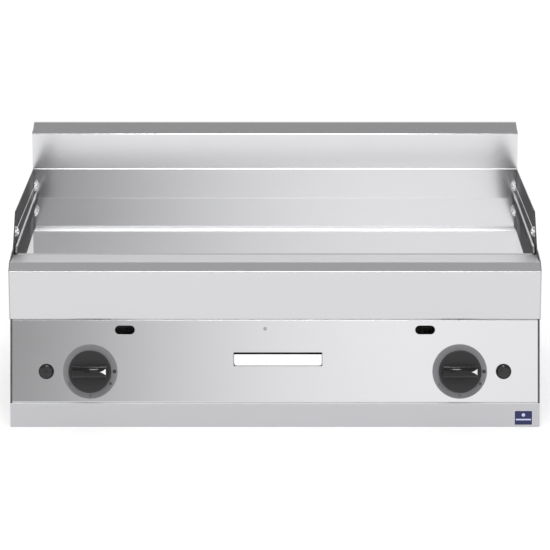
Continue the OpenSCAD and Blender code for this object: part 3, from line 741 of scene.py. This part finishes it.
@dataclass
class InnerWorks:
    """Screws and inner parts: carried-over CAD nodes, which only get a finish."""

    paint: Paintbox
    single: ClassVar[dict[Finish, tuple[str, ...]]] = {
        Finish.MILL_SHEET: (
            "flue_baffle", "heat_shield", "chamber_front_wall", "chamber_side_walls",
            "burner_supports",
        ),
        Finish.MINERAL_WOOL: ("insulation",),
        Finish.ZINC_STEEL: ("gas_manifold", "foot_inserts", "casing_screws"),
        Finish.MACHINED_BRASS: ("gas_inlet",),
        Finish.BRIGHT_NICKEL: ("guard_screws",),
    }
    # Nodes that come as a left and a right one.
    paired: ClassVar[dict[Finish, tuple[str, ...]]] = {
        Finish.FIRED_STEEL: ("burner",),
        Finish.MACHINED_BRASS: ("injector", "gas_valve", "push_rod"),
        Finish.ZINC_STEEL: ("spindle", "pilot"),
        Finish.DRAWN_COPPER: ("burner_pipe", "pilot_pipe", "thermocouple"),
        Finish.GLAZED_CERAMIC: ("electrode",),
    }

    def dress(self, nodes: dict[str, bpy.types.Object]) -> None:
        """Give each carried-over node its finish.

        Args:
            nodes: the CAD nodes by name.
        """
        for finish, names in self.single.items():
            for name in names:
                self.paint.coat(nodes[name], finish)
        for finish, names in self.paired.items():
            for name in names:
                self.paint.coat(nodes[f"left_{name}"], finish)
                self.paint.coat(nodes[f"right_{name}"], finish)
        LOG.info("carried-over nodes dressed")


# ---- controls


@dataclass
class Knob:
    """Disc with a crowned bar grip whose end carries a bright arrowhead."""

    paint: Paintbox
    radius: float = 32 * MM
    stand: float = 8 * MM
    disc: float = 11 * MM
    # Inset and rise in millimetres of each step of the disc's face: rim, groove, land.
    steps: Pairs = ((3.2, 0.5), (0.6, -0.25), (1.0, 0.0))
    # The wall around the hollow back, and the hollow's depth.
    wall: float = 3.0 * MM
    hollow: float = 7 * MM
    grip_length: float = 51.6 * MM
    grip_width: float = 17.4 * MM
    grip_height: float = 20 * MM
    # How far the grip reaches into the disc.
    root: float = 1.0 * MM
    crown: float = 3.0 * MM
    stations: int = 9
    round_over: float = 8.0 * MM
    # Least share of the normal across the grip on its matt sides.
    side_share: float = 0.85
    pointer: float = 9.4 * MM
    pointer_depth: float = 0.8 * MM
    # Distance from the grip's end, and how much of the depth lies below its face.
    pointer_edge: float = 0.9 * MM
    pointer_sunk: float = 0.2 * MM

    def make_disc(self) -> bpy.types.Object:
        """Model the disc with a rolled rim and a shallow ring groove.

        Returns:
            The disc, in the knob's local frame.
        """
        disc = primitive(
            CYLINDER, "knob_disc", vertices=96, radius=self.radius, depth=self.disc,
            location=(0, 0, self.stand + self.disc / 2)
        )
        edit(disc)
        pick(disc, lambda f: f.normal.z > SQUARE)
        for inset, rise in self.steps:
            bpy.ops.mesh.inset(thickness=inset * MM)
            lift(rise * MM)
        pick(disc, lambda f: f.normal.z < -SQUARE)
        bpy.ops.mesh.inset(thickness=self.wall)
        dig(self.hollow)
        done()
        soften(disc, 1.4 * MM, 4, 50)
        self.paint.coat(disc, Finish.PHENOLIC_DISC)
        return disc

    def make_grip(self) -> bpy.types.Object:
        """Model the bar grip, crowned along its length and rounded along its long edges.

        Returns:
            The grip, in the knob's local frame.
        """
        bottom = self.stand + self.disc - self.root
        top = self.stand + self.disc + self.grip_height
        half, side = self.grip_length / 2, self.grip_width / 2
        grip = primitive(
            CUBE, "knob_grip", size=1, location=(0, 0, (bottom + top) / 2),
            scale=(self.grip_length, self.grip_width, top - bottom)
        )
        bake(grip)
        edit(grip, "EDGE")
        pick(grip, lambda e: span(e).x > half, "edges")
        bpy.ops.mesh.subdivide(number_cuts=self.stations)
        for station in range(self.stations + 2):
            share = 2 * station / (self.stations + 1) - 1
            pick(grip, lambda e: middle(e).z > top - NEAR and span(e).y > side
                 and abs(middle(e).x - share * half) < MM, "edges")
            lift(-self.crown * share * share)
        pick(grip, lambda e: middle(e).z > top - 2 * self.crown
             and abs(middle(e).y) > side - NEAR, "edges")
        bpy.ops.mesh.bevel(offset=self.round_over, segments=8)
        done()
        soften(grip, 0.5 * MM, 3, 40)
        self.paint.coat(grip, Finish.PHENOLIC_GRIP)
        second_finish(
            self.paint, grip, Finish.PHENOLIC_DISC, lambda way, _: abs(way.y) > self.side_share
        )
        return grip

    def make_pointer(self) -> bpy.types.Object:
        """Model the bright arrowhead let into the end of the grip's face.

        Returns:
            The pointer, in the knob's local frame.
        """
        wedge = primitive(CYLINDER, "knob_pointer", vertices=3, radius=1, depth=1)
        tip = wedge.data.vertices[0].co
        wedge.rotation_euler = (0, 0, math.pi - math.atan2(tip.y, tip.x))
        bake(wedge)
        # A three-sided prism of radius 1 is 1.5 long and 1.732 wide.
        wedge.scale = (self.pointer / 1.5, self.pointer / 1.732, self.pointer_depth)
        bake(wedge)
        low = min(v.co.x for v in wedge.data.vertices)
        edit(wedge, "EDGE")
        pick(wedge, lambda e: span(e).x > MM, "edges")
        bpy.ops.mesh.subdivide(number_cuts=3)
        for share in (0.25, 0.5, 0.75):
            pick(wedge, lambda e: abs(middle(e).x - low - share * self.pointer) < 3 * NEAR
                 and span(e).z > self.pointer_depth / 2, "edges")
            bpy.ops.transform.resize(value=(1, math.sqrt(share), 1), center_override=(0, 0, 0))
        done()
        half = self.grip_length / 2
        centre_x = half - self.pointer_edge - self.pointer / 3
        share = (centre_x - self.pointer / 6) / half
        height = self.stand + self.disc + self.grip_height - self.crown * share * share
        lean = Matrix.Rotation(math.atan2(2 * self.crown * share, half), 4, "Y")
        settle(wedge, Matrix.Translation((centre_x, 0, height - self.pointer_sunk)) @ lean)
        soften(wedge, 0.12 * MM, 2, 40)
        self.paint.coat(wedge, Finish.BRIGHT_NICKEL)
        return wedge

    def build(self, side: str, place: Matrix) -> None:
        """Build one knob on its tap.

        Args:
            side: left or right.
            place: the tap's local frame.
        """
        knob = join([self.make_disc(), self.make_grip(), self.make_pointer()], f"{side}_knob_body")
        settle(knob, place)
        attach(knob, f"{side}_tap")
        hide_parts(f"{side}_knob")
        LOG.info("%s: %d faces", knob.name, len(knob.data.polygons))


@dataclass
class Bezel:
    """Grey disc behind a knob, with printed marks for off, spark, high and low."""

    paint: Paintbox
    radius: float = 41 * MM
    thickness: float = 2.5 * MM
    rim: float = 0.9 * MM
    band: float = 7.6 * MM
    recess: float = 0.6 * MM
    mark_radius: float = 36.6 * MM
    ink: float = 0.12 * MM
    ink_edge: float = 0.04 * MM
    # How far a mark's middle lies below the ring's face.
    ink_sunk: float = 0.1 * MM
    # The spark's bars: their width, and their distance inwards from the other marks.
    bar_width: float = 0.9 * MM
    bar_inward: float = 0.6 * MM

    def make_ring(self) -> bpy.types.Object:
        """Model the disc with a chamfered rim and a shallow recess that the knob covers.

        Returns:
            The ring, in the tap's local frame.
        """
        ring = primitive(
            CYLINDER, "bezel_ring", vertices=128, radius=self.radius, depth=self.thickness,
            location=(0, 0, self.thickness / 2)
        )
        edit(ring)
        pick(ring, lambda f: f.normal.z > SQUARE)
        bpy.ops.mesh.inset(thickness=self.rim)
        bpy.ops.mesh.inset(thickness=self.band)
        lift(-self.recess)
        done()
        soften(ring, 0.35 * MM, 3, 30)
        self.paint.coat(ring, Finish.ANODISED_GREY)
        return ring

    def mark_place(self, clock: float, inward: float = 0.0) -> Matrix:
        """Place of a mark on the ring.

        Args:
            clock: angle clockwise from three o'clock, in degrees.
            inward: distance from the circle of marks towards the middle.

        Returns:
            The transform to the tap's local frame.
        """
        spot = Matrix.Translation((self.mark_radius - inward, 0, self.thickness - self.ink_sunk))
        return Matrix.Rotation(-math.radians(clock), 4, "Z") @ spot

    def make_mark(
        self, clock: float, width: float, height: float, sides: int, finish: Finish
    ) -> bpy.types.Object:
        """Model one printed mark as a thin raised patch.

        Args:
            clock: angle clockwise from three o'clock, in degrees.
            width: size across the ring.
            height: size along the ring's radius.
            sides: number of corners of the patch.
            finish: the ink.

        Returns:
            The mark, in the tap's local frame.
        """
        mark = primitive(CYLINDER, "bezel_mark", vertices=sides, radius=0.5, depth=1)
        mark.scale = (height, width, self.ink * 2)
        settle(mark, self.mark_place(clock))
        soften(mark, self.ink_edge, 1, 40)
        self.paint.coat(mark, finish)
        return mark

    def make_spark(self, clock: float, size: float) -> bpy.types.Object:
        """Model the ignition mark: three crossed bars.

        Args:
            clock: angle clockwise from three o'clock, in degrees.
            size: length of a bar.

        Returns:
            The mark, in the tap's local frame.
        """
        bars: list[bpy.types.Object] = []
        spot = self.mark_place(clock, self.bar_inward)
        for step in range(3):
            bar = primitive(CUBE, f"spark_bar_{step}", size=1)
            bar.scale = (size, self.bar_width, self.ink * 2)
            settle(bar, spot @ Matrix.Rotation(math.radians(60 * step), 4, "Z"))
            bars.append(bar)
        spark = join(bars, "bezel_spark")
        soften(spark, self.ink_edge, 1, 40)
        self.paint.coat(spark, Finish.DARK_INK)
        return spark

    def build(self, side: str, place: Matrix) -> None:
        """Build one ring with its marks.

        Args:
            side: left or right.
            place: the tap's local frame.
        """
        pieces = [
            self.make_ring(),
            self.make_mark(0, 5.6 * MM, 5.6 * MM, 24, Finish.DARK_INK),
            self.make_spark(31, 4.4 * MM),
            self.make_mark(90, 3.0 * MM, 5.2 * MM, 4, Finish.FAINT_INK),
            self.make_mark(148, 4.6 * MM, 2.6 * MM, 5, Finish.FAINT_INK),
        ]
        ring = join(pieces, f"{side}_bezel_ring")
        settle(ring, place)
        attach(ring, "casing")
        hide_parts(f"{side}_bezel")
        LOG.info("%s: %d faces", ring.name, len(ring.data.polygons))


@dataclass
class Igniter:
    """Piezo igniter: collar on the panel and a domed push cap."""

    paint: Paintbox
    collar_radius: float = 11.6 * MM
    collar_height: float = 4 * MM
    cap_radius: float = 9.75 * MM
    cap_back: float = 6 * MM
    cap_height: float = 2.2 * MM
    # Inset and rise of each step of the cap's dome, in millimetres.
    dome: Pairs = ((1.2, 0.8), (2.2, 0.6), (2.6, 0.35), (2.0, 0.1))
    # The pocket that the cap sinks into, with a gap around it, and the stem's bore.
    gap: float = 0.3 * MM
    pocket: float = 3.1 * MM
    stem_radius: float = 5 * MM
    stem: float = 24 * MM
    stem_gap: float = 0.05 * MM
    bore: float = 20 * MM
    body_radius: float = 9 * MM
    body_depth: float = 58 * MM
    # The lock nut: how much wider than the collar, its height, and its middle's depth.
    nut_wider: float = 2 * MM
    nut_height: float = 5 * MM
    nut_middle: float = 3.7 * MM

    def make_collar(self) -> bpy.types.Object:
        """Model the collar with its pocket, and the body behind the panel.

        Returns:
            The collar, in the igniter's local frame.
        """
        collar = primitive(
            CYLINDER, "igniter_collar", vertices=64, radius=self.collar_radius,
            depth=self.collar_height, location=(0, 0, self.collar_height / 2)
        )
        edit(collar)
        pick(collar, lambda f: f.normal.z > SQUARE)
        bpy.ops.mesh.inset(thickness=self.collar_radius - self.cap_radius - self.gap)
        dig(-self.pocket)
        bpy.ops.mesh.inset(
            thickness=self.cap_radius + self.gap - self.stem_radius - self.stem_gap
        )
        dig(-self.bore)
        pick(collar, lambda f: f.normal.z < -SQUARE and f.calc_center_median().z > -MM)
        bpy.ops.mesh.inset(thickness=self.collar_radius - self.body_radius)
        dig(-self.body_depth)
        done()
        soften(collar, 0.5 * MM, 3, 40)
        self.paint.coat(collar, Finish.BLACK_NYLON)
        return collar

    def make_nut(self) -> bpy.types.Object:
        """Model the hexagonal lock nut behind the panel.

        Returns:
            The nut, in the igniter's local frame.
        """
        nut = primitive(
            CYLINDER, "igniter_nut", vertices=6, radius=self.collar_radius + self.nut_wider,
            depth=self.nut_height, location=(0, 0, -self.nut_middle)
        )
        soften(nut, 0.5 * MM, 2, 40)
        self.paint.coat(nut, Finish.ZINC_STEEL)
        return nut

    def make_cap(self) -> bpy.types.Object:
        """Model the domed cap on its stem.

        Returns:
            The cap, in the igniter's local frame.
        """
        cap = primitive(
            CYLINDER, "igniter_cap", vertices=64, radius=self.cap_radius,
            depth=self.cap_height, location=(0, 0, self.cap_back + self.cap_height / 2)
        )
        edit(cap)
        for inset, rise in self.dome:
            # The face in the middle is the only one with more than four corners.
            pick(cap, lambda f: f.normal.z > SQUARE and len(f.verts) > 4)
            bpy.ops.mesh.inset(thickness=inset * MM)
            lift(rise * MM)
        pick(cap, lambda f: f.normal.z < -SQUARE)
        bpy.ops.mesh.inset(thickness=self.cap_radius - self.stem_radius)
        dig(-self.stem)
        done()
        soften(cap, 0.3 * MM, 3, 50)
        self.paint.coat(cap, Finish.NYLON_CAP)
        return cap

    def build(self, side: str, place: Matrix) -> None:
        """Build one igniter and its button.

        Args:
            side: left or right.
            place: the igniter's local frame.
        """
        collar = join([self.make_collar(), self.make_nut()], f"{side}_igniter_body")
        settle(collar, place)
        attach(collar, "casing")
        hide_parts(f"{side}_igniter")
        cap = self.make_cap()
        cap.name = f"{side}_igniter_cap"
        settle(cap, place)
        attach(cap, f"{side}_button")
        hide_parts(f"{side}_igniter_button")
        LOG.info("%s and %s", collar.name, cap.name)


@dataclass
class Badge:
    """Plain enamelled plate with a bright rim, a stripe and a dot, and no lettering."""

    paint: Paintbox
    rim: float = 0.35 * MM
    enamel_sunk: float = 0.25 * MM
    # Stripe and dot: thickness, depth of their middle behind the front, and edge.
    mark_thickness: float = 0.3 * MM
    mark_depth: float = 0.2 * MM
    mark_edge: float = 0.1 * MM
    stripe_height: float = 2.2 * MM
    dot_radius: float = 2.6 * MM
    # Shares of the badge's size: the stripe's length and drop, and the dot's rise.
    stripe_share: float = 0.84
    stripe_drop: float = 0.12
    dot_rise: float = 0.2

    def make_plate(self, centre: Vector, size: Vector) -> bpy.types.Object:
        """Model the plate: a bright rim around sunken enamel.

        Args:
            centre: the plate's middle.
            size: its size along each axis.

        Returns:
            The plate.
        """
        plate = primitive(CUBE, "badge_plate", size=1, location=centre)
        plate.scale = size
        bake(plate)
        plate.data.materials.append(self.paint.get(Finish.BRIGHT_NICKEL))
        plate.data.materials.append(self.paint.get(Finish.BLUE_ENAMEL))
        edit(plate)
        pick(plate, lambda f: f.normal.y < -SQUARE)
        bpy.ops.mesh.inset(thickness=self.rim)
        bpy.ops.transform.translate(value=(0, self.enamel_sunk, 0))
        plate.active_material_index = 1
        bpy.ops.object.material_slot_assign()
        done()
        soften(plate, 0.12 * MM, 2, 40)
        return plate

    def build(self) -> None:
        """Build the badge over its CAD plate."""
        low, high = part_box("badge")
        centre, size = (low + high) / 2, high - low
        plate = self.make_plate(centre, size)
        face = Vector((centre.x, low.y + self.mark_depth, centre.z))
        stripe = primitive(
            CUBE, "badge_stripe", size=1,
            location=face - Vector((0, 0, size.z * self.stripe_drop))
        )
        stripe.scale = (size.x * self.stripe_share, self.mark_thickness, self.stripe_height)
        dot = primitive(
            CYLINDER, "badge_dot", vertices=32, radius=self.dot_radius,
            depth=self.mark_thickness, rotation=(math.pi / 2, 0, 0),
            location=face + Vector((0, 0, size.z * self.dot_rise))
        )
        for mark in (stripe, dot):
            bake(mark)
            soften(mark, self.mark_edge, 2, 40)
            self.paint.coat(mark, Finish.PALE_ENAMEL)
        badge = join([plate, stripe, dot], "badge_enamel")
        settle(badge, Matrix.Identity(4))
        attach(badge, "casing")
        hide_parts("badge")
        LOG.info("%s: %d faces", badge.name, len(badge.data.polygons))


# ---- studio


@dataclass(frozen=True)
class Softbox:
    """A soft rectangular light: place and size in metres, and power in watts."""

    name: str
    place: Point
    size: tuple[float, float]
    power: float
    mirrored: bool = True


@dataclass
class Studio:
    """Pale floor, a soft card, lights and the camera."""

    camera_place: Point = (0.0, -5.918, 1.2266)
    pitch: float = 10.1
    lens: float = 248.07
    sensor: float = 36.0
    far: float = 200.0
    floor_size: float = 60.0
    floor_drop: float = 0.5 * MM
    floor_colour: float = 0.7
    floor_roughness: float = 0.9
    # The floor's own glow by depth, where 0.5 is its middle and 1 its far edge.
    floor_glow: Pairs = ((0.5, 0.42), (0.53, 0.62))
    # The room's brightness by height, from the horizon at 0 to straight up at 1.
    sky: Pairs = (
        (0.0, 1.0), (0.05, 0.66), (0.2, 0.66), (0.24, 1.1), (0.4, 1.1), (0.52, 0.36),
        (0.64, 0.32), (0.92, 0.48), (0.97, 0.5), (1.0, 0.3),
    )
    sky_strength: float = 1.1
    # The front card's brightness from its left edge at 0 to its right edge at 1.
    card: Pairs = (
        (0.0, 1.0), (0.24, 0.95), (0.3, 0.34), (0.385, 0.34), (0.42, 0.58), (0.465, 0.88),
        (0.5, 1.04), (0.56, 1.18), (0.6, 1.1), (1.0, 1.0),
    )
    card_place: Point = (0.0, -8.5, 1.9)
    card_size: tuple[float, float] = (8.0, 2.1)
    # The key and the fill light hang over the front and face one point.
    aim: Point = (0.0, -0.2, 0.15)
    softboxes: tuple[Softbox, ...] = (
        Softbox("key", (0.0, -3.2, 4.3), (0.9, 2.2), 60.0),
        Softbox("fill", (0.0, -2.6, 3.0), (3.0, 1.8), 30.0, mirrored=False),
    )
    # The glow over the plate's back edge: depth, height over the plate, power, and lean.
    glow_depth: float = 0.06
    glow_rise: float = 4 * MM
    glow_power: float = 0.55
    glow_lean: float = 0.02

    def add_camera(self) -> None:
        """Place the camera at the viewing angle and make it the scene's."""
        camera = bpy.data.cameras.new("studio_camera")
        camera.lens = self.lens
        camera.sensor_width = self.sensor
        camera.clip_end = self.far
        holder = bpy.data.objects.new("studio_camera", camera)
        bpy.context.scene.collection.objects.link(holder)
        holder.location = self.camera_place
        holder.rotation_euler = (math.radians(90 - self.pitch), 0, 0)
        bpy.context.scene.camera = holder

    def add_floor(self) -> None:
        """Lay the pale floor under the griddle."""
        floor = primitive(
            PLANE, "studio_floor", size=self.floor_size, location=(0, 0, -self.floor_drop)
        )
        material, shader = new_material("pale_floor")
        shader.inputs["Base Color"].default_value = grey(self.floor_colour)
        shader.inputs["Roughness"].default_value = self.floor_roughness
        shader.inputs["Emission Strength"].default_value = 1.0
        tree = material.node_tree
        place = add_node(tree, "ShaderNodeTexCoord").outputs["Generated"]
        depth = add_node(tree, "ShaderNodeSeparateXYZ", inputs={0: place}).outputs["Y"]
        glow = add_node(
            tree, "ShaderNodeValToRGB", inputs={"Fac": depth}, stops=greys(self.floor_glow)
        ).outputs["Color"]
        tree.links.new(glow, shader.inputs["Emission Color"])
        floor.data.materials.append(material)

    def add_sky(self) -> None:
        """Light the room by bands: bright low down and darker overhead."""
        world = bpy.data.worlds.new("studio_room")
        world.use_nodes = True
        tree = world.node_tree
        direction = add_node(tree, "ShaderNodeTexCoord").outputs["Generated"]
        height = add_node(tree, "ShaderNodeSeparateXYZ", inputs={0: direction}).outputs["Z"]
        colour = add_node(
            tree, "ShaderNodeValToRGB", inputs={"Fac": height}, stops=greys(self.sky)
        ).outputs["Color"]
        background = tree.nodes["Background"]
        tree.links.new(colour, background.inputs["Color"])
        background.inputs["Strength"].default_value = self.sky_strength
        bpy.context.scene.world = world

    def add_card(self) -> None:
        """Hang a large upright card in front, whose brightness changes across its width."""
        card = primitive(PLANE, "front_card", size=1)
        card.scale = (*self.card_size, 1)
        card.rotation_euler = (math.pi / 2, 0, 0)
        card.location = self.card_place
        material, shader = new_material("front_card_light")
        tree = material.node_tree
        tree.nodes.remove(shader)
        place = add_node(tree, "ShaderNodeTexCoord").outputs["Object"]
        across = add_node(tree, "ShaderNodeSeparateXYZ", inputs={0: place}).outputs["X"]
        shifted = add_node(
            tree, "ShaderNodeMath", {"operation": "ADD"}, {0: across, 1: 0.5}
        ).outputs[0]
        ramp = add_node(
            tree, "ShaderNodeValToRGB", inputs={"Fac": shifted}, stops=greys(self.card)
        ).outputs["Color"]
        glow = add_node(tree, "ShaderNodeEmission", inputs={"Color": ramp, "Strength": 1.0})
        output = tree.nodes["Material Output"]
        tree.links.new(glow.outputs[0], output.inputs["Surface"])
        card.data.materials.append(material)
        card.visible_camera = False
        card.visible_shadow = False
        card.visible_diffuse = False

    def add_light(self, box: Softbox, aim: Vector) -> bpy.types.Object:
        """Hang a soft rectangular light.

        Args:
            box: the light.
            aim: the point that it faces.

        Returns:
            The light's object.
        """
        light = bpy.data.lights.new(box.name, "AREA")
        light.shape = "RECTANGLE"
        light.size, light.size_y = box.size
        light.energy = box.power
        holder = bpy.data.objects.new(box.name, light)
        bpy.context.scene.collection.objects.link(holder)
        holder.location = box.place
        holder.rotation_euler = (aim - Vector(box.place)).to_track_quat("-Z", "Y").to_euler()
        holder.visible_glossy = box.mirrored
        return holder

    def add_lights(self) -> None:
        """Add the softboxes over the front, and the glow that the plate throws up."""
        for box in self.softboxes:
            self.add_light(box, Vector(self.aim))
        low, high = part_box("griddle_plate")
        spot = Vector((0, high.y - self.glow_depth, high.z + self.glow_rise))
        size = (high.x - low.x, self.glow_depth)
        box = Softbox("plate_glow", tuple(spot), size, self.glow_power, mirrored=False)
        glow = self.add_light(box, spot + Vector((0, self.glow_lean, 1)))
        glow.visible_camera = False

    def build(self) -> None:
        """Build the whole studio."""
        self.add_camera()
        self.add_floor()
        self.add_sky()
        self.add_card()
        self.add_lights()
        bpy.context.scene.view_settings.view_transform = "Standard"
        bpy.context.scene.view_settings.look = "None"
        LOG.info("studio built")


# ---- assembly


def main() -> None:
    """Load the frame, dress every part and build the studio."""
    logging.basicConfig(level=logging.INFO, format="%(name)s: %(message)s")
    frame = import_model()
    clear_selection()
    bodies = {
        node: body
        for body, members in frame["record"]["behaviour"]["bodies"].items()
        for node in members
    }
    paint = Paintbox()
    Studio().build()
    SheetMetal(paint, bodies).build(frame["nodes"])
    InnerWorks(paint).dress(frame["nodes"])
    knob, bezel, igniter = Knob(paint), Bezel(paint), Igniter(paint)
    for side in ("left", "right"):
        turn = next(j for j in frame["joints"] if j["name"] == f"{side}_tap_turn")
        outward = -Vector(turn["axis"]).normalized()
        place = local_frame(Vector(turn["pos_m"]), outward)
        knob.build(side, place)
        bezel.build(side, place)
        low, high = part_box(f"{side}_bezel")
        button_low, button_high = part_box(f"{side}_igniter_button")
        shift = (button_low.x + button_high.x - low.x - high.x) / 2
        igniter.build(side, Matrix.Translation((shift, 0, 0)) @ place)
    Badge(paint).build()


if __name__ == "__main__":
    main()
